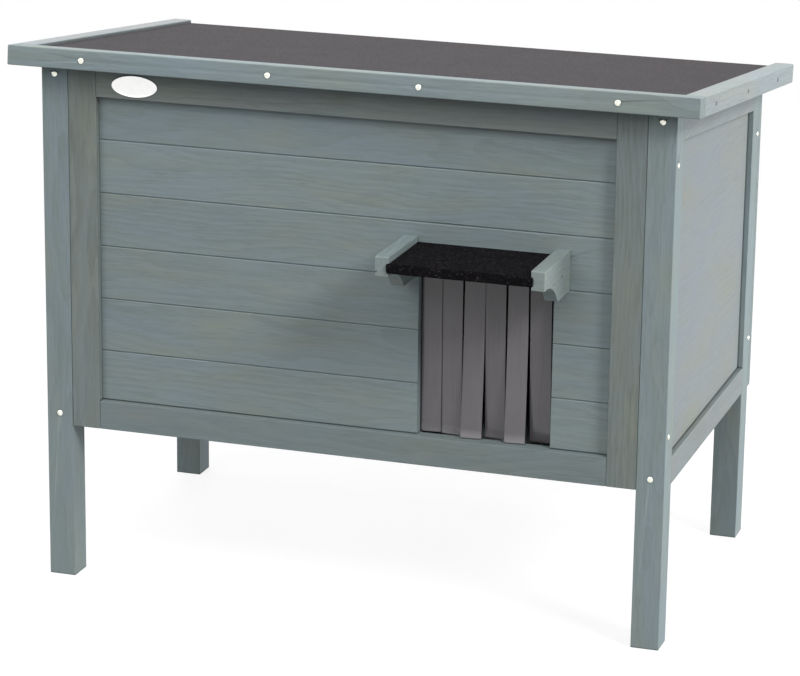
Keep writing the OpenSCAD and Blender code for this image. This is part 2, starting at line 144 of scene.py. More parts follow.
@dataclass(frozen=True)
class EasedEdges:
    """Sharp edges eased a little, as sanding or pressing leaves them; rims of small holes stay sharp."""

    least_turn_deg: float = 40.0
    least_length_mm: float = 1.0
    weld_mm: float = 0.01
    steps: int = 2

    def tree(self, name: str) -> tuple[bpy.types.NodeTree, bpy.types.NodeSocket]:
        """Start a modifier tree that takes a mesh and gives one back.

        Args:
            name: The tree's name.

        Returns:
            The tree and the mesh that comes in.
        """
        tree = bpy.data.node_groups.new(name, "GeometryNodeTree")
        for way in ("INPUT", "OUTPUT"):
            tree.interface.new_socket("Geometry", in_out=way, socket_type="NodeSocketGeometry")
        return tree, put(tree, "NodeGroupInput").outputs[0]

    def marking(self) -> bpy.types.NodeTree:
        """Make the tree that joins a solid's faces and marks its long sharp edges for the bevel.

        Returns:
            The tree.
        """
        tree, solid = self.tree("marked_edges")
        joined = put(tree, "GeometryNodeMergeByDistance",
                     {"Geometry": solid, "Distance": self.weld_mm * MM}).outputs[0]
        turn = put(tree, "GeometryNodeInputMeshEdgeAngle").outputs["Unsigned Angle"]
        ends = put(tree, "GeometryNodeInputMeshEdgeVertices")
        length = put(tree, "ShaderNodeVectorMath",
                     {0: ends.outputs["Position 1"], 1: ends.outputs["Position 2"]},
                     operation="DISTANCE").outputs["Value"]
        sharp = put(tree, "ShaderNodeMath", {0: turn, 1: math.radians(self.least_turn_deg)},
                    operation="GREATER_THAN").outputs[0]
        long = put(tree, "ShaderNodeMath", {0: length, 1: self.least_length_mm * MM},
                   operation="GREATER_THAN").outputs[0]
        weight = put(tree, "ShaderNodeMath", {0: sharp, 1: long}, operation="MULTIPLY").outputs[0]
        marked = put(tree, "GeometryNodeStoreNamedAttribute",
                     {"Geometry": joined, "Name": "bevel_weight_edge", "Value": weight},
                     data_type="FLOAT", domain="EDGE").outputs[0]
        put(tree, "NodeGroupOutput", {0: marked})
        return tree

    def shading(self) -> bpy.types.NodeTree:
        """Make the tree that shades every face smooth, so that eased edges read as round.

        Returns:
            The tree.
        """
        tree, solid = self.tree("even_shading")
        smooth = put(tree, "GeometryNodeSetShadeSmooth", {"Geometry": solid}).outputs[0]
        put(tree, "NodeGroupOutput", {0: smooth})
        return tree

    def ease(self, obj: bpy.types.Object, width_mm: float) -> None:
        """Round the sharp edges of a solid with modifiers, so its own mesh stays as it is.

        Args:
            obj: The solid's object.
            width_mm: How far from an edge the rounding starts.
        """
        obj.modifiers.new("marked_edges", "NODES").node_group = MARKING
        bevel = obj.modifiers.new("eased_edges", "BEVEL")
        bevel.width = width_mm * MM
        bevel.segments = self.steps
        bevel.limit_method = "WEIGHT"
        bevel.use_clamp_overlap = False
        bevel.material = len(obj.data.materials) - 1
        obj.modifiers.new("even_shading", "NODES").node_group = SHADING
        obj.modifiers.new("flat_faces", "WEIGHTED_NORMAL")


EDGES = EasedEdges()
MARKING = EDGES.marking()
SHADING = EDGES.shading()


def dress(node: str, materials: Iterable[bpy.types.Material], edge_mm: float = 0.0) -> bpy.types.Object:
    """Give a solid its finish and eased edges.

    Args:
        node: The solid's name.
        materials: Its finish, and after it the finish of its eased edges if that differs.
        edge_mm: How far from an edge its rounding starts, or 0 for crisp edges.

    Returns:
        The solid's object.
    """
    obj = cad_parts[node]
    obj.data.materials.clear()
    for material in materials:
        obj.data.materials.append(material)
    if edge_mm:
        EDGES.ease(obj, edge_mm)
    log.info("dressed %s", node)
    return obj


class Grain(Enum):
    """The axis that a board's fibres run along, as its number and the turn that lays it along X."""

    ALONG_X = (0, (0.0, 0.0, 0.0))
    ALONG_Y = (1, (0.0, 0.0, -math.pi / 2))
    ALONG_Z = (2, (0.0, math.pi / 2, 0.0))


@dataclass(frozen=True)
class Tones:
    """The colours of a piece of fir, and a word for its finish."""

    body: str
    warm: str
    cool: str
    late: str
    knot: str
    finish: str = "stained"


# A thin grey-green water stain: yellowish where the wood shows through, and bluish where it lies thicker
STAIN = Tones(body="#869395", warm="#8a9288", cool="#83929b", late="#778382", knot="#4c4e49")
# The same stain on warmer wood, as on the stiles
WARM_STAIN = Tones(body="#808a89", warm="#868b7e", cool="#7b888c", late="#6f7773", knot="#45443c")
# Greyer on the side walls and the roof's right rail
SIDE_STAIN = Tones(body="#8b9395", warm="#8f9288", cool="#87929c", late="#7d8483", knot="#4c4e49")
# Greyest on the roof's left rail
RAIL_STAIN = Tones(body="#8f9394", warm="#93938c", cool="#8b9298", late="#818484", knot="#50514d")
# The stain rubbed thin on the edges
WORN_STAIN = Tones(body="#939e9c", warm="#969d8f", cool="#8f9ea4", late="#869190", knot="#5c5e58",
                   finish="worn")
# Painted shade in the joints, inner corners and under lips, where near surfaces close the wood in
JOINT_SHADE = "#3f4648"


@dataclass(frozen=True)
class Layer:
    """One layer of the figure in a board.

    Attributes:
        size_mm: The size of its marks across the fibres.
        draw: What a length along the fibres is multiplied by, which draws the marks out along the board.
        start: The level at which it begins to show.
        full: The level at which it shows in full.
        share: How strongly it then colours the wood, from 0 to 1.
    """

    size_mm: float
    draw: float
    start: float = 0.0
    full: float = 1.0
    share: float = 1.0


@dataclass(frozen=True)
class Fir:
    """Planed and stained fir: fine fibres, soft rings, cloudy patches of stain, a few small knots and
    painted shade in its joints.
    """

    kind: str
    grain: Grain
    tones: Tones = STAIN
    tilt_deg: float = 0.0
    roughness: float = 0.68
    rough_spread: float = 0.1
    # The fibres and the dark flecks among them are drawn about twice as coarse as in fir, so that they show
    fibres: Layer = Layer(size_mm=2.0, draw=0.05, start=0.45, full=0.75, share=0.68)
    flecks: Layer = Layer(size_mm=1.6, draw=0.07, start=0.58, full=0.72, share=0.65)
    rings: Layer = Layer(size_mm=7.0, draw=0.02, start=0.3, full=1.0, share=0.4)
    # The wander pushes the rings about, by this many rings at most, and the sway bends all the fibres
    wander: Layer = Layer(size_mm=45.0, draw=0.22)
    wander_by: float = 6.0
    sway: Layer = Layer(size_mm=55.0, draw=0.4)
    sway_by_mm: float = 10.0
    # Patches of warm stain, of cool stain and of stronger figure, each with its own place in the noise
    patches: Layer = Layer(size_mm=42.0, draw=0.25, start=0.44, full=0.72)
    patch_places: tuple[float, float, float] = (0.0, 7.0, 13.0)
    figure: float = 1.0
    figure_span: tuple[float, float] = (0.35, 0.65)
    faint: float = 0.4
    strong: float = 1.5
    # How far apart the knots are, how large they are, and how much of a knot is its dark heart
    knots: Layer = Layer(size_mm=85.0, draw=0.6)
    knot_mm: float = 3.2
    knot_heart: float = 0.4
    # How far the painted shade in joints and corners reaches, and how open the surface is where it starts
    # and is full
    joint_shade_mm: float = 2.5
    joint_shade_span: tuple[float, float] = (0.95, 0.6)
    joint_shade_share: float = 0.75

    def along(self, tree: bpy.types.NodeTree, place: bpy.types.NodeSocket,
              layer: Layer) -> bpy.types.NodeSocket:
        """Lay the fibres along X, and draw a layer out along them.

        Args:
            tree: The material's tree.
            place: The point on the board.
            layer: The layer.

        Returns:
            The turned point.
        """
        axis, turn = self.grain.value
        scale = [1.0, 1.0, 1.0]
        scale[axis] = layer.draw
        return put(tree, "ShaderNodeMapping",
                   {"Vector": place, "Rotation": turn, "Scale": scale}).outputs[0]

    def log_places(self, tree: bpy.types.NodeTree) -> tuple[bpy.types.NodeSocket, bpy.types.NodeSocket]:
        """Find where a point of the board lay in its log.

        Args:
            tree: The material's tree.

        Returns:
            The point in the board's own stretch of the log, and the point as seen from the pith.
        """
        raw = put(tree, "ShaderNodeTexCoord").outputs["Object"]
        place = put(tree, "ShaderNodeMapping",
                    {"Vector": raw, "Rotation": (math.radians(self.tilt_deg), 0, 0)}).outputs[0]
        shift, pith = (put(tree, "ShaderNodeAttribute", attribute_type="OBJECT",
                           attribute_name=key).outputs["Vector"] for key in ("grain_shift", "pith"))
        board = put(tree, "ShaderNodeVectorMath", {0: place, 1: shift}, operation="ADD").outputs[0]
        sway = put(tree, "ShaderNodeTexNoise", {
            "Vector": self.along(tree, board, self.sway), "Scale": 1 / (self.sway.size_mm * MM),
            "Detail": 1.0}).outputs["Color"]
        place, board = (put(tree, "ShaderNodeVectorMath",
                            {0: sway, 1: [self.sway_by_mm * MM] * 3, 2: point},
                            operation="MULTIPLY_ADD").outputs[0] for point in (place, board))
        from_pith = put(tree, "ShaderNodeVectorMath", {0: place, 1: pith},
                        operation="SUBTRACT").outputs[0]
        return board, from_pith

    def ring_places(self, tree: bpy.types.NodeTree, board: bpy.types.NodeSocket,
                    from_pith: bpy.types.NodeSocket) -> bpy.types.NodeSocket:
        """Find how far a point lies between one ring and the next, which gives loops and long arcs.

        Args:
            tree: The material's tree.
            board: The point in the log.
            from_pith: The point as seen from the pith.

        Returns:
            0 at the start of a ring, and 1 at its end.
        """
        wander = put(tree, "ShaderNodeTexNoise", {
            "Vector": self.along(tree, board, self.wander), "Scale": 1 / (self.wander.size_mm * MM),
            "Detail": 2.0, "Roughness": 0.4}).outputs[0]
        radius = put(tree, "ShaderNodeVectorMath", {0: self.along(tree, from_pith, self.rings)},
                     operation="LENGTH").outputs["Value"]
        count = put(tree, "ShaderNodeMath", {0: wander, 1: self.wander_by},
                    operation="MULTIPLY").outputs[0]
        count = put(tree, "ShaderNodeMath", {0: radius, 1: 1 / (self.rings.size_mm * MM), 2: count},
                    operation="MULTIPLY_ADD").outputs[0]
        return put(tree, "ShaderNodeMath", {0: count}, operation="FRACT").outputs[0]

    def stained(self, tree: bpy.types.NodeTree, board: bpy.types.NodeSocket,
                marks: Iterable[bpy.types.NodeSocket]) -> bpy.types.NodeSocket:
        """Mix the stain, its cloudy patches and the marks of the wood.

        Args:
            tree: The material's tree.
            board: The point in the log.
            marks: How strongly each kind of mark shows, from 0 to 1.

        Returns:
            The colour.
        """
        *clouds, figure = [put(tree, "ShaderNodeTexNoise", {
            "Vector": self.along(tree, board, self.patches), "W": place,
            "Scale": 1 / (self.patches.size_mm * MM), "Detail": 7.0, "Roughness": 0.62, "Distortion": 0.5},
            noise_dimensions="4D").outputs[0] for place in self.patch_places]
        colour = srgb(self.tones.body)
        for cloud, tone in zip(clouds, (self.tones.warm, self.tones.cool)):
            patch = put(tree, "ShaderNodeMapRange", {
                "Value": cloud, "From Min": self.patches.start, "From Max": self.patches.full}).outputs[0]
            colour = put(tree, "ShaderNodeMix", {MIX_FACTOR: patch, MIX_A: colour, MIX_B: srgb(tone)},
                         data_type="RGBA").outputs[MIX_RESULT]
        strength = put(tree, "ShaderNodeMapRange", {
            "Value": figure, "From Min": self.figure_span[0], "From Max": self.figure_span[1],
            "To Min": self.faint * self.figure, "To Max": self.strong * self.figure}).outputs[0]
        for mark in marks:
            share = put(tree, "ShaderNodeMath", {0: mark, 1: strength}, operation="MULTIPLY",
                        use_clamp=True).outputs[0]
            colour = put(tree, "ShaderNodeMix",
                         {MIX_FACTOR: share, MIX_A: colour, MIX_B: srgb(self.tones.late)},
                         data_type="RGBA").outputs[MIX_RESULT]
        return colour

    def aged(self, tree: bpy.types.NodeTree, board: bpy.types.NodeSocket,
             colour: bpy.types.NodeSocket) -> bpy.types.NodeSocket:
        """Add the knots, painted shade in the joints and inner corners, and the board's own tone.

        Args:
            tree: The material's tree.
            board: The point in the log.
            colour: The colour of the stained wood.

        Returns:
            The colour that shows.
        """
        away = put(tree, "ShaderNodeTexVoronoi", {
            "Vector": self.along(tree, board, self.knots),
            "Scale": 1 / (self.knots.size_mm * MM)}).outputs["Distance"]
        edge = self.knot_mm / self.knots.size_mm
        knot = put(tree, "ShaderNodeMapRange", {
            "Value": away, "From Min": edge, "From Max": edge * self.knot_heart}).outputs[0]
        colour = put(tree, "ShaderNodeMix",
                     {MIX_FACTOR: knot, MIX_A: colour, MIX_B: srgb(self.tones.knot)},
                     data_type="RGBA").outputs[MIX_RESULT]
        # Painted shade: where ambient occlusion finds the wood closed in by a near surface, it darkens
        # towards the shade colour
        free = put(tree, "ShaderNodeAmbientOcclusion", {"Distance": self.joint_shade_mm * MM},
                   samples=8).outputs["AO"]
        joint = put(tree, "ShaderNodeMapRange", {
            "Value": free, "From Min": self.joint_shade_span[0], "From Max": self.joint_shade_span[1],
            "To Max": self.joint_shade_share}).outputs[0]
        colour = put(tree, "ShaderNodeMix", {MIX_FACTOR: joint, MIX_A: colour, MIX_B: srgb(JOINT_SHADE)},
                     data_type="RGBA").outputs[MIX_RESULT]
        tone = put(tree, "ShaderNodeAttribute", attribute_type="OBJECT",
                   attribute_name="tone").outputs["Fac"]
        return put(tree, "ShaderNodeHueSaturation", {"Color": colour, "Value": tone}).outputs[0]

    def material(self) -> bpy.types.Material:
        """Make the material.

        Returns:
            The fir with its fibres along the chosen axis.
        """
        made, tree = blank_material(f"{self.tones.finish}_fir_{self.kind}")
        board, from_pith = self.log_places(tree)
        rings = self.ring_places(tree, board, from_pith)
        fibres = put(tree, "ShaderNodeTexNoise", {
            "Vector": self.along(tree, board, self.fibres), "Scale": 1 / (self.fibres.size_mm * MM),
            "Detail": 4.0, "Roughness": 0.65, "Distortion": 0.3}).outputs[0]
        flecks = put(tree, "ShaderNodeTexNoise", {
            "Vector": self.along(tree, board, self.flecks), "Scale": 1 / (self.flecks.size_mm * MM),
            "Detail": 2.0, "Roughness": 0.5}).outputs[0]
        levels = ((self.rings, rings), (self.fibres, fibres), (self.flecks, flecks))
        late, grain, dark = (put(tree, "ShaderNodeMapRange", {
            "Value": level, "From Min": layer.start, "From Max": layer.full,
            "To Max": layer.share}).outputs[0] for layer, level in levels)
        colour = self.aged(tree, board, self.stained(tree, board, (late, grain, dark)))
        rough = put(tree, "ShaderNodeMapRange", {
            "Value": fibres, "To Min": self.roughness - self.rough_spread,
            "To Max": self.roughness + self.rough_spread}).outputs[0]
        ridge = put(tree, "ShaderNodeMath", {0: grain, 1: late}, operation="ADD").outputs[0]
        bump = put(tree, "ShaderNodeBump", {"Height": ridge, "Strength": 0.35, "Distance": 0.2 * MM},
                   invert=True).outputs[0]
        surface = put(tree, "ShaderNodeBsdfPrincipled", {
            "Base Color": colour, "Roughness": rough, "Normal": bump,
            "IOR": 1.5, "Specular IOR Level": 0.35})
        put(tree, "ShaderNodeOutputMaterial", {"Surface": surface.outputs[0]})
        return made


@dataclass(frozen=True)
class MineralFelt:
    """Bitumen felt rolled with crushed slate: matt, each granule its own grey, and dark between them."""

    name: str
    bitumen: str
    granule: str
    pale: str
    pale_share: float
    granule_mm: float
    gloss: float
    mottle_mm: float
    mottle: float
    mottle_span: tuple[float, float] = (0.3, 0.7)
    rough_span: tuple[float, float] = (0.75, 0.95)
    relief_mm: float = 0.5

    def material(self) -> bpy.types.Material:
        """Make the material.

        Returns:
            The felt.
        """
        made, tree = blank_material(self.name)
        place = put(tree, "ShaderNodeTexCoord").outputs["Object"]
        grit = put(tree, "ShaderNodeTexVoronoi", {"Vector": place, "Scale": 1 / (self.granule_mm * MM)})
        draw = put(tree, "ShaderNodeSeparateColor", {0: grit.outputs["Color"]})
        cloud = put(tree, "ShaderNodeTexNoise", {
            "Vector": place, "Scale": 1 / (self.mottle_mm * MM),
            "Detail": 5.0, "Roughness": 0.6}).outputs[0]
        colour = put(tree, "ShaderNodeMix", {
            MIX_FACTOR: draw.outputs[0], MIX_A: srgb(self.bitumen), MIX_B: srgb(self.granule)},
            data_type="RGBA").outputs[MIX_RESULT]
        chosen = put(tree, "ShaderNodeMath", {0: draw.outputs[1], 1: self.pale_share},
                     operation="LESS_THAN").outputs[0]
        colour = put(tree, "ShaderNodeMix", {MIX_FACTOR: chosen, MIX_A: colour, MIX_B: srgb(self.pale)},
                     data_type="RGBA").outputs[MIX_RESULT]
        worn = put(tree, "ShaderNodeMapRange", {
            "Value": cloud, "From Min": self.mottle_span[0], "From Max": self.mottle_span[1],
            "To Min": 1 - self.mottle, "To Max": 1 + self.mottle}).outputs[0]
        colour = put(tree, "ShaderNodeHueSaturation", {"Color": colour, "Value": worn}).outputs[0]
        rough = put(tree, "ShaderNodeMapRange", {
            "Value": draw.outputs[2], "To Min": self.rough_span[0],
            "To Max": self.rough_span[1]}).outputs[0]
        bump = put(tree, "ShaderNodeBump", {
            "Height": grit.outputs["Distance"], "Strength": 0.7, "Distance": self.relief_mm * MM},
            invert=True).outputs[0]
        surface = put(tree, "ShaderNodeBsdfPrincipled", {
            "Base Color": colour, "Roughness": rough, "Normal": bump,
            "IOR": 1.5, "Specular IOR Level": self.gloss})
        put(tree, "ShaderNodeOutputMaterial", {"Surface": surface.outputs[0]})
        return made


@dataclass(frozen=True)
class SmokyPvc:
    """Extruded soft PVC, tinted grey: a satin skin with faint die lines, and light soaks in a little.

    Attributes:
        sill: The height of the sill in metres, near which the strips' lower ends get a painted highlight.
    """

    sill: float
    name: str = "soft_pvc_smoky"
    tint: str = "#6c686c"
    milky: str = "#767277"
    # The colour of the strips' lower ends and how far up it reaches: a painted highlight where they catch
    # the light
    lit_end: str = "#a8a5a8"
    lit_end_mm: float = 11.0
    die_line_mm: float = 1.2
    die_line_draw: float = 0.01
    cloud_mm: float = 30.0
    cloud_span: tuple[float, float] = (0.7, 1.4)
    roughness: float = 0.16
    rough_spread: float = 0.06

    def material(self) -> bpy.types.Material:
        """Make the material.

        Returns:
            The PVC.
        """
        made, tree = blank_material(self.name)
        place = put(tree, "ShaderNodeTexCoord").outputs["Object"]
        drawn = put(tree, "ShaderNodeMapping",
                    {"Vector": place, "Scale": (1.0, 1.0, self.die_line_draw)}).outputs[0]
        lines = put(tree, "ShaderNodeTexNoise", {
            "Vector": drawn, "Scale": 1 / (self.die_line_mm * MM), "Detail": 2.0}).outputs[0]
        cloud = put(tree, "ShaderNodeTexNoise", {
            "Vector": place, "Scale": 1 / (self.cloud_mm * MM), "Detail": 4.0}).outputs[0]
        patch = put(tree, "ShaderNodeMath", {0: cloud, 1: lines}, operation="ADD").outputs[0]
        patch = put(tree, "ShaderNodeMapRange", {
            "Value": patch, "From Min": self.cloud_span[0], "From Max": self.cloud_span[1]}).outputs[0]
        colour = put(tree, "ShaderNodeMix", {
            MIX_FACTOR: patch, MIX_A: srgb(self.tint), MIX_B: srgb(self.milky)},
            data_type="RGBA").outputs[MIX_RESULT]
        # Painted highlight: the lower ends are paler near the sill, as if lit and seen through, each strip
        # by its own amount
        height = put(tree, "ShaderNodeSeparateXYZ", {0: place}).outputs["Z"]
        end = put(tree, "ShaderNodeMapRange", {
            "Value": height, "From Min": self.sill + self.lit_end_mm * MM,
            "From Max": self.sill}).outputs[0]
        amount, tone = (put(tree, "ShaderNodeAttribute", attribute_type="OBJECT",
                            attribute_name=key).outputs["Fac"] for key in ("lit_end", "tone"))
        end = put(tree, "ShaderNodeMath", {0: end, 1: amount}, operation="MULTIPLY").outputs[0]
        colour = put(tree, "ShaderNodeMix", {MIX_FACTOR: end, MIX_A: colour, MIX_B: srgb(self.lit_end)},
                     data_type="RGBA").outputs[MIX_RESULT]
        colour = put(tree, "ShaderNodeHueSaturation", {"Color": colour, "Value": tone}).outputs[0]
        rough = put(tree, "ShaderNodeMapRange", {
            "Value": lines, "To Min": self.roughness - self.rough_spread,
            "To Max": self.roughness + self.rough_spread}).outputs[0]
        bump = put(tree, "ShaderNodeBump",
                   {"Height": lines, "Strength": 0.12, "Distance": 0.1 * MM}).outputs[0]
        surface = put(tree, "ShaderNodeBsdfPrincipled", {
            "Base Color": colour, "Roughness": rough, "Normal": bump,
            "IOR": 1.53, "Transmission Weight": 0.15})
        put(tree, "ShaderNodeOutputMaterial", {"Surface": surface.outputs[0]})
        return made


@dataclass(frozen=True)
class Metal:
    """A smooth metal: slight cloudiness, and fine marks that break up the gloss."""

    name: str
    colour: str
    dulled: str
    roughness: float
    rough_spread: float = 0.08
    mark_mm: float = 2.0
    mark_span: tuple[float, float] = (0.4, 0.75)

    def material(self) -> bpy.types.Material:
        """Make the material.

        Returns:
            The metal.
        """
        made, tree = blank_material(self.name)
        place = put(tree, "ShaderNodeTexCoord").outputs["Object"]
        marks = put(tree, "ShaderNodeTexNoise", {
            "Vector": place, "Scale": 1 / (self.mark_mm * MM),
            "Detail": 4.0, "Roughness": 0.6}).outputs[0]
        patch = put(tree, "ShaderNodeMapRange", {
            "Value": marks, "From Min": self.mark_span[0], "From Max": self.mark_span[1]}).outputs[0]
        colour = put(tree, "ShaderNodeMix", {
            MIX_FACTOR: patch, MIX_A: srgb(self.colour), MIX_B: srgb(self.dulled)},
            data_type="RGBA").outputs[MIX_RESULT]
        rough = put(tree, "ShaderNodeMapRange", {
            "Value": marks, "To Min": self.roughness - self.rough_spread,
            "To Max": self.roughness + self.rough_spread}).outputs[0]
        bump = put(tree, "ShaderNodeBump",
                   {"Height": marks, "Strength": 0.1, "Distance": 0.05 * MM}).outputs[0]
        surface = put(tree, "ShaderNodeBsdfPrincipled", {
            "Base Color": colour, "Roughness": rough, "Metallic": 1.0, "Normal": bump})
        put(tree, "ShaderNodeOutputMaterial", {"Surface": surface.outputs[0]})
        return made


@dataclass
class Timber:
    """Boards of one finish whose fibres run the same way."""

    nodes: tuple[str, ...]
    fir: Fir
    edge_mm: float = 0.9
    tone: float = 1.0
    tone_spread: float = 0.04
    worn: bool = True
    # How near the pith and how far from it a board may be cut, and how far off in the log, in metres
    pith_near_mm: float = 45.0
    pith_far_mm: float = 95.0
    log_reach: float = 4.0

    def dress(self) -> None:
        """Give each board its finish, its own place in the grain and its own tone."""
        materials = [self.fir.material()]
        if self.worn:
            materials.append(replace(self.fir, tones=WORN_STAIN).material())
        for node in self.nodes:
            self.place_grain(dress(node, materials, self.edge_mm), node)

    def place_grain(self, obj: bpy.types.Object, node: str) -> None:
        """Cut a board from its own part of the log.

        Args:
            obj: The board's object.
            node: Its name.
        """
        draw = seeded(node)
        low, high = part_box(node)
        middle = Matrix.Rotation(math.radians(self.fir.tilt_deg), 3, "X") @ ((low + high) / 2)
        turn = draw.uniform(0, math.tau)
        reach = draw.uniform(self.pith_near_mm, self.pith_far_mm) * MM
        across = [math.cos(turn), math.sin(turn)]
        across.insert(self.fir.grain.value[0], 0.0)
        obj["pith"] = tuple(middle + Vector(across) * reach)
        obj["grain_shift"] = tuple(draw.uniform(-self.log_reach, self.log_reach) for _ in range(3))
        obj["tone"] = self.tone + draw.uniform(-self.tone_spread, self.tone_spread)


@dataclass
class Carcass:
    """The legs, the framed walls, the side panels and the floor."""

    planks: int = 6
    frame_edge_mm: float = 0.9
    plank_edge_mm: float = 0.3
    # How far the painted shade in the seams between planks reaches
    plank_joint_shade_mm: float = 0.4
    leg_tones: tuple[tuple[str, float], ...] = (
        ("front_left_leg", 1.03), ("front_right_leg", 1.11),
        ("rear_left_leg", 0.95), ("rear_right_leg", 1.11))

    def dress(self) -> None:
        """Dress the boards, each with its fibres along its length."""
        for leg, tone in self.leg_tones:
            Timber((leg,), Fir(leg, Grain.ALONG_Z), self.frame_edge_mm, tone, tone_spread=0.0,
                   worn=False).dress()
        self.dress_front_and_rear()
        self.dress_sides()
        Timber(("floor_panel", "floor_bearers", "curtain_batten"),
               Fir("floor", Grain.ALONG_X, WARM_STAIN), self.plank_edge_mm, worn=False).dress()

    def dress_front_and_rear(self) -> None:
        """Dress the frames of the front and rear walls, their planks and the door jambs."""
        ends = ("front", "rear")
        stiles = tuple(f"{end}_{side}_stile" for end in ends for side in ("left", "right"))
        bottom_rails, top_rails = (tuple(f"{end}_{level}_rail" for end in ends)
                                   for level in ("bottom", "top"))
        planks = tuple(f"{name}_{number}" for name in ("front_plank", "rear_board")
                       for number in range(1, self.planks + 1))
        Timber(stiles, Fir("stiles", Grain.ALONG_Z, WARM_STAIN, figure=1.4), self.frame_edge_mm,
               tone=0.98, worn=False).dress()
        Timber(bottom_rails, Fir("bottom_rails", Grain.ALONG_X), self.frame_edge_mm, tone=0.86,
               worn=False).dress()
        Timber(top_rails, Fir("top_rails", Grain.ALONG_X, WARM_STAIN), self.frame_edge_mm, tone=0.98,
               worn=False).dress()
        Timber(planks, Fir("planks", Grain.ALONG_X, joint_shade_mm=self.plank_joint_shade_mm), self.plank_edge_mm,
               tone=1.03, worn=False).dress()
        Timber(("door_jamb_battens",), Fir("jambs", Grain.ALONG_Z), self.plank_edge_mm,
               worn=False).dress()

    def dress_sides(self) -> None:
        """Dress the rails and the panels of the side walls."""
        sides = ("left", "right")
        rails = tuple(f"{side}_{level}_rail" for side in sides for level in ("bottom", "top"))
        panels = tuple(f"{side}_panel" for side in sides)
        Timber(rails, Fir("side_rails", Grain.ALONG_Y, SIDE_STAIN), self.frame_edge_mm).dress()
        Timber(panels, Fir("side_panels", Grain.ALONG_Y, SIDE_STAIN, figure=0.5), self.plank_edge_mm,
               worn=False).dress()


@dataclass
class Awning:
    """The two brackets, the board between them and its felt."""

    # How far the painted shade reaches at the brackets' joints
    joint_shade_mm: float = 0.8
    fold_mm: float = 1.6
    # Small pin knots lie close together in the brackets
    pin_knots: Layer = Layer(size_mm=14.0, draw=0.6)
    pin_knot_mm: float = 1.6
    # Black granules with a few paler ones, which show as specks
    felt: MineralFelt = MineralFelt(
        "slate_felt_black", bitumen="#070607", granule="#141215", pale="#302b2e", pale_share=0.08,
        granule_mm=1.6, gloss=0.07, mottle_mm=9.0, mottle=0.4)

    def dress(self) -> None:
        """Dress the wood and the felt."""
        fir = Fir("brackets", Grain.ALONG_Y, knots=self.pin_knots, knot_mm=self.pin_knot_mm,
                  joint_shade_mm=self.joint_shade_mm)
        Timber(("awning_left_bracket", "awning_right_bracket"), fir, tone=1.1).dress()
        Timber(("awning_board",), Fir("awning", Grain.ALONG_X)).dress()
        dress("awning_felt", (self.felt.material(),), self.fold_mm)


@dataclass
class Roof:
    """The roof board, its felt and the rails round it."""

    slope_deg: float = 6.3
    edge_mm: float = 1.2
    fold_mm: float = 1.0
    # How far the painted shade reaches on the side rails, as on their inner faces beside the felt
    lip_shade_mm: float = 8.0
    rail_finishes: tuple[tuple[str, float, Tones], ...] = (
        ("left", 1.26, RAIL_STAIN), ("right", 1.24, SIDE_STAIN))
    # Grey granules, close to each other in tone, which look even from a step away
    felt: MineralFelt = MineralFelt(
        "slate_felt_grey", bitumen="#423e41", granule="#4d4a4d", pale="#565356", pale_share=0.1,
        granule_mm=1.3, gloss=0.08, mottle_mm=60.0, mottle=0.05)

    def dress(self) -> None:
        """Dress the wood and the felt."""
        Timber(("roof_front_rail",), Fir("roof_front", Grain.ALONG_X, tilt_deg=self.slope_deg),
               self.edge_mm, tone=1.1).dress()
        for side, tone, tones in self.rail_finishes:
            fir = Fir(f"roof_{side}", Grain.ALONG_Y, tones, self.slope_deg, joint_shade_mm=self.lip_shade_mm)
            Timber((f"roof_{side}_rail",), fir, self.edge_mm, tone).dress()
        Timber(("roof_board",), Fir("roof_board", Grain.ALONG_X, WARM_STAIN, self.slope_deg),
               worn=False).dress()
        dress("roof_felt", (self.felt.material(),), self.fold_mm)


@dataclass
class Fixings:
    """Screws, nails and hinges."""

    # Bright plating mirrors the white room, so that the heads stay pale in the roof's shadow
    white: Metal = Metal("white_zinc_plated_steel", colour="#f0f1e6", dulled="#e4e5d9", roughness=0.3)
    # Plain zinc plating is greyer, with a soft gloss
    zinc: Metal = Metal("zinc_plated_steel", colour="#b9bec2", dulled="#9ea4a8", roughness=0.34)
    # Bare steel wire has gone dull
    bare: Metal = Metal("dull_steel", colour="#6b7070", dulled="#5b5f5e", roughness=0.5)

    def dress(self) -> None:
        """Dress the metal parts."""
        for finish, nodes in (
                (self.white, ("leg_screws", "roof_rail_screws")),
                (self.zinc, ("hinge_wall_leaves", "hinge_roof_leaves", "hinge_pins", "hinge_wall_screws",
                             "hinge_roof_screws", "inner_screws")),
                (self.bare, ("roof_rail_nails",))):
            metal = finish.material()
            for node in nodes:
                dress(node, (metal,))


@dataclass(frozen=True)
class Hang:
    """How one strip hangs, with its lengths in millimetres.

    Attributes:
        width: Its flat width.
        back: How far its end hangs into the house, or out of it where less than 0.
        aside: How far to the right of its place it is clamped.
        lean: How far to the right its end leans.
        twist: How far its right edge is turned into the house at the end.
        cup: How deep it is cupped, half way down.
        lit_end: How far its end is painted paler, a painted highlight, from 0 to 1.
        tone: Its own tone, lower for strips that hang back into the shade and higher for those bent out
            into the light: painted shade and light.
    """

    width: float
    back: float
    aside: float
    lean: float
    twist: float
    cup: float
    lit_end: float
    tone: float


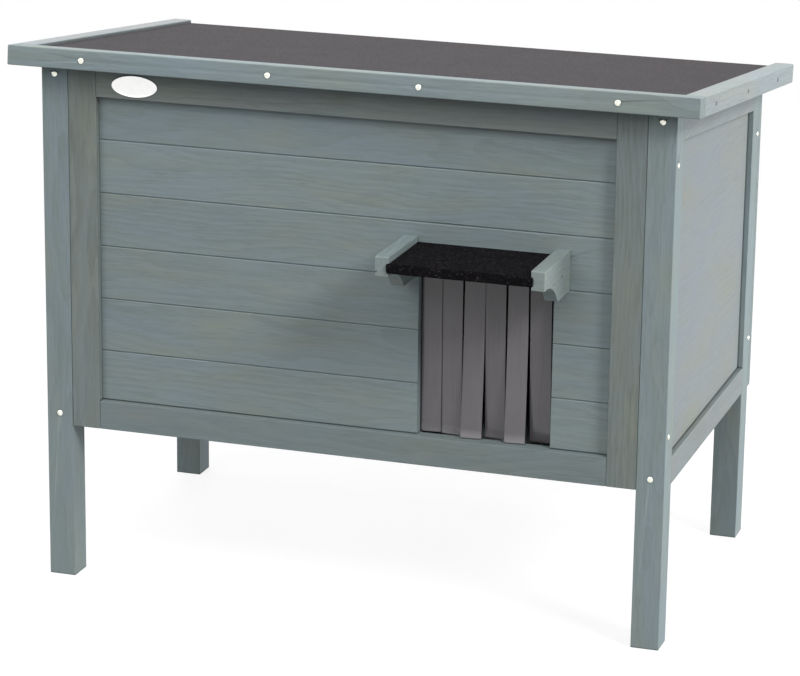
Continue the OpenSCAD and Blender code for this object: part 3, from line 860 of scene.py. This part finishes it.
@dataclass
class Curtain:
    """The clamped band and the six PVC strips that hang from it."""

    thickness_mm: float = 1.6
    columns: int = 6
    rows: int = 44
    # The share of a cup's depth that lies in front of the flat strip
    cup_front: float = 0.4
    corner_mm: float = 0.35
    corner_steps: int = 2
    corner_turn_deg: float = 60.0
    # From left to right
    hangs: tuple[Hang, ...] = (
        Hang(width=22.6, back=3.5, aside=0.4, lean=0.1, twist=0.8, cup=0.5, lit_end=0.8, tone=0.9),
        Hang(width=22.5, back=1.5, aside=-0.9, lean=0.7, twist=-1.0, cup=0.4, lit_end=0.9, tone=0.92),
        Hang(width=23.1, back=-6.0, aside=-0.3, lean=-0.4, twist=1.2, cup=0.6, lit_end=0.8, tone=0.97),
        Hang(width=22.8, back=4.5, aside=-1.5, lean=0.8, twist=-0.8, cup=0.5, lit_end=0.6, tone=0.86),
        Hang(width=22.8, back=-6.5, aside=-0.8, lean=0.7, twist=1.0, cup=0.6, lit_end=0.6, tone=1.1),
        Hang(width=24.0, back=6.5, aside=0.1, lean=0.9, twist=-1.2, cup=0.4, lit_end=0.0, tone=0.82))

    def build(self) -> None:
        """Dress the band and hang the strips."""
        pvc = SmokyPvc(sill=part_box("front_bottom_rail")[1].z).material()
        dress("curtain_header", (pvc,))["tone"] = 1.0
        for number, hang in enumerate(self.hangs, start=1):
            self.strip(f"curtain_strip_{number}", hang, pvc)

    def strip(self, node: str, hang: Hang, pvc: bpy.types.Material) -> None:
        """Make one strip in place of its solid.

        Args:
            node: The strip's solid and body.
            hang: How it hangs.
            pvc: Its material.
        """
        low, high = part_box(node)
        strip = mesh_object(f"pvc_strip_{node[-1]}", self.bent(low, high, hang), self.faces(), node)
        strip.data.materials.append(pvc)
        strip["lit_end"], strip["tone"] = hang.lit_end, hang.tone
        skin = strip.modifiers.new("thickness", "SOLIDIFY")
        skin.thickness = self.thickness_mm * MM
        skin.offset = 0
        corner = strip.modifiers.new("cut_edge", "BEVEL")
        corner.width = self.corner_mm * MM
        corner.segments = self.corner_steps
        corner.limit_method = "ANGLE"
        corner.angle_limit = math.radians(self.corner_turn_deg)
        strip.modifiers.new("flat_faces", "WEIGHTED_NORMAL")
        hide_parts(node)
        log.info("hung %s", strip.name)

    def bent(self, low: Vector, high: Vector, hang: Hang) -> list[Vector]:
        """Bend a strip's middle face: rows run down from the band, and columns from left to right.

        Args:
            low: The least corner of the strip's solid.
            high: The greatest corner of the strip's solid.
            hang: How the strip hangs.

        Returns:
            The points, row by row.
        """
        band_low, band_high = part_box("curtain_header")
        middle_x = (low.x + high.x) / 2 + hang.aside * MM
        middle_y = (band_low.y + band_high.y) / 2
        verts = []
        for row in range(self.rows + 1):
            down = row / self.rows
            bend = hang.back * down * down
            for column in range(self.columns + 1):
                side = 2 * column / self.columns - 1
                cup = hang.cup * (side * side - self.cup_front) * math.sin(math.pi * down)
                across = hang.twist * side * down + cup
                verts.append(Vector((middle_x + (side * hang.width / 2 + hang.lean * down) * MM,
                                     middle_y + (bend + across) * MM,
                                     high.z + (low.z - high.z) * down)))
        return verts

    def faces(self) -> list[tuple[int, ...]]:
        """Join the points of a strip.

        Returns:
            The faces as numbers of points.
        """
        wide = self.columns + 1
        firsts = (row * wide + column for row in range(self.rows) for column in range(self.columns))
        return [(first, first + wide, first + wide + 1, first + 1) for first in firsts]


@dataclass
class OvalPlate:
    """The small blank oval plate on the front top rail: a raised rim round a flat field."""

    width_mm: float = 53.3
    height_mm: float = 23.8
    # Its middle, from the rail's left end and below the rail's middle
    from_end_mm: float = 45.5
    below_middle_mm: float = 3.0
    points: int = 72
    # Rings from the back edge to the field: share of the outline, and stand off the rail in millimetres
    rings: tuple[tuple[float, float], ...] = (
        (1.0, 0.0), (1.0, 0.8), (0.985, 1.15), (0.955, 1.3),
        (0.925, 1.2), (0.9, 0.95), (0.6, 0.9), (0.25, 0.9))
    # A satin metal stays bright in the roof's shadow, since it mirrors the white room
    finish: Metal = Metal("satin_white_aluminium", colour="#f7f7f6", dulled="#f1f1f0", roughness=0.3,
                          mark_mm=6.0)

    def build(self) -> None:
        """Make the plate and seat it on the rail."""
        low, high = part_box("front_top_rail")
        middle = Vector((low.x + self.from_end_mm * MM, low.y,
                         (low.z + high.z) / 2 - self.below_middle_mm * MM))
        verts, faces = [], []
        for share, stand in self.rings:
            for step in range(self.points):
                turn = math.tau * step / self.points
                verts.append(middle + Vector((share * self.width_mm / 2 * math.cos(turn), -stand,
                                              share * self.height_mm / 2 * math.sin(turn))) * MM)
        last = (len(self.rings) - 1) * self.points
        for start in range(0, last, self.points):
            for step in range(self.points):
                here, after = start + step, start + (step + 1) % self.points
                faces.append((here, after, after + self.points, here + self.points))
        faces.append(tuple(range(last, last + self.points)))
        faces.append(tuple(reversed(range(self.points))))
        plate = mesh_object("oval_plate", verts, faces, "house")
        plate.data.materials.append(self.finish.material())
        plate.modifiers.new("flat_faces", "WEIGHTED_NORMAL")
        log.info("seated oval_plate")


def hang_lamp(name: str, light: bpy.types.Light, place: Vector, back: Vector) -> None:
    """Put a lamp into the scene.

    Args:
        name: The lamp's name.
        light: Its settings.
        place: Where it hangs, in metres.
        back: The way from what it lights to the lamp.
    """
    lamp = bpy.data.objects.new(name, light)
    lamp.location = place
    lamp.rotation_euler = back.to_track_quat("Z", "Y").to_euler()
    bpy.context.scene.collection.objects.link(lamp)
    log.info("hung lamp %s", name)


@dataclass(frozen=True)
class Sun:
    """A far lamp, so large that its shadows are soft."""

    name: str
    way: tuple[float, float, float]
    strength: float
    spread_deg: float = 40.0

    def hang(self) -> None:
        """Add the lamp."""
        light = bpy.data.lights.new(self.name, "SUN")
        light.energy = self.strength
        light.angle = math.radians(self.spread_deg)
        hang_lamp(self.name, light, Vector(self.way), Vector(self.way))


@dataclass(frozen=True)
class SoftBox:
    """A near square lamp that faces a point of the house, with places and size in metres."""

    name: str
    place: tuple[float, float, float]
    watts: float
    size: float
    aim: tuple[float, float, float]

    def hang(self) -> None:
        """Add the lamp."""
        light = bpy.data.lights.new(self.name, "AREA")
        light.energy = self.watts
        light.size = self.size
        hang_lamp(self.name, light, Vector(self.place), Vector(self.place) - Vector(self.aim))


@dataclass
class Studio:
    """The pale floor, the soft lamps and the camera."""

    # Where the camera stands, in metres, and how it is turned, in radians
    spot: tuple[float, float, float] = (1.0802, -3.35075, 1.2755)
    azimuth: float = 0.3118
    elevation: float = 0.2795
    roll: float = 0.0136
    lens_mm: float = 144.77
    lamps: tuple[Sun | SoftBox, ...] = (
        Sun("key", way=(1.15, -0.65, 0.95), strength=1.72, spread_deg=18.0),
        Sun("front", way=(0.15, -1.0, 0.6), strength=0.55),
        Sun("left", way=(-0.5, -1.0, 0.8), strength=0.8),
        Sun("rear", way=(-0.5, 1.0, 0.7), strength=1.2),
        Sun("flank", way=(-1.0, 0.2, 0.3), strength=1.1),
        SoftBox("side", place=(2.4, 0.75, 0.1), watts=51.0, size=1.2, aim=(0.35, 0.1, 0.35)),
        SoftBox("top", place=(0.3, 0.0, 2.6), watts=14.0, size=2.0, aim=(0.0, 0.0, 0.35)))
    sky: float = 0.1
    # What the floor throws back onto the house, from 0 to 1
    floor_paint: float = 0.25
    # Where the floor itself shows, it glows, and its paint takes the house's shadow
    floor_fill: float = 0.84
    floor_shade: float = 0.25
    # How far out it starts to fade into the background, where it is gone and where it ends, in metres
    floor_near: float = 0.5
    floor_far: float = 1.6
    floor_reach: float = 14.0
    floor_sides: int = 96

    def build(self) -> None:
        """Set up the whole studio."""
        bpy.context.scene.view_settings.view_transform = "Standard"
        self.camera()
        for lamp in self.lamps:
            lamp.hang()
        self.world()
        self.floor()

    def camera(self) -> None:
        """Stand the camera where the photograph was taken from."""
        lens = bpy.data.cameras.new("camera")
        lens.lens = self.lens_mm
        camera = bpy.data.objects.new("camera", lens)
        bpy.context.scene.collection.objects.link(camera)
        ahead = Vector((-math.sin(self.azimuth) * math.cos(self.elevation),
                        math.cos(self.azimuth) * math.cos(self.elevation), -math.sin(self.elevation)))
        right = Vector((math.cos(self.azimuth), math.sin(self.azimuth), 0))
        up = right.cross(ahead)
        level, tip = math.cos(self.roll), math.sin(self.roll)
        axes = Matrix((level * right + tip * up, level * up - tip * right, -ahead)).transposed()
        camera.matrix_world = Matrix.Translation(self.spot) @ axes.to_4x4()
        bpy.context.scene.camera = camera

    def seen(self, tree: bpy.types.NodeTree) -> bpy.types.NodeSocket:
        """Find the rays that show the background rather than light the object.

        Args:
            tree: The tree that asks.

        Returns:
            1 for camera, glossy and transmission rays, and 0 for others.
        """
        path = put(tree, "ShaderNodeLightPath")
        shown = path.outputs["Is Camera Ray"]
        for kind in ("Is Glossy Ray", "Is Transmission Ray"):
            shown = put(tree, "ShaderNodeMath", {0: shown, 1: path.outputs[kind]},
                        operation="MAXIMUM").outputs[0]
        return shown

    def world(self) -> None:
        """Light the room evenly, with a white background."""
        world = bpy.data.worlds.new("studio")
        bpy.context.scene.world = world
        world.use_nodes = True
        tree = world.node_tree
        tree.nodes.clear()
        level = put(tree, "ShaderNodeMapRange", {
            "Value": self.seen(tree), "To Min": self.sky, "To Max": 1.0}).outputs[0]
        white = put(tree, "ShaderNodeBackground", {"Color": (1, 1, 1, 1), "Strength": level})
        put(tree, "ShaderNodeOutputWorld", {"Surface": white.outputs[0]})

    def floor(self) -> None:
        """Lay a white floor that keeps the shadow near the house and fades into the background."""
        mesh = bpy.data.meshes.new("floor")
        shape = bmesh.new()
        bmesh.ops.create_circle(shape, cap_ends=True, segments=self.floor_sides, radius=self.floor_reach)
        shape.to_mesh(mesh)
        shape.free()
        floor = bpy.data.objects.new("floor", mesh)
        bpy.context.scene.collection.objects.link(floor)
        made, tree = blank_material("studio_floor")
        place = put(tree, "ShaderNodeTexCoord").outputs["Object"]
        away = put(tree, "ShaderNodeVectorMath", {0: place}, operation="LENGTH").outputs["Value"]
        faded = put(tree, "ShaderNodeMapRange", {
            "Value": away, "From Min": self.floor_near, "From Max": self.floor_far},
            interpolation_type="SMOOTHSTEP").outputs[0]
        paint, shadow = (put(tree, "ShaderNodeBsdfDiffuse", {"Color": (grey, grey, grey, 1)}).outputs[0]
                         for grey in (self.floor_paint, self.floor_shade))
        lift, white = (put(tree, "ShaderNodeEmission", {"Strength": level}).outputs[0]
                       for level in (self.floor_fill, 1.0))
        near = put(tree, "ShaderNodeAddShader", {0: shadow, 1: lift}).outputs[0]
        shown = put(tree, "ShaderNodeMixShader", {0: faded, 1: near, 2: white}).outputs[0]
        whole = put(tree, "ShaderNodeMixShader", {0: self.seen(tree), 1: paint, 2: shown}).outputs[0]
        put(tree, "ShaderNodeOutputMaterial", {"Surface": whole})
        mesh.materials.append(made)


def main() -> None:
    """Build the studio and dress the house."""
    logging.basicConfig(level=logging.INFO, format="%(message)s")
    Studio().build()
    Carcass().dress()
    Awning().dress()
    Roof().dress()
    Fixings().dress()
    Curtain().build()
    OvalPlate().build()


if __name__ == "__main__":
    main()
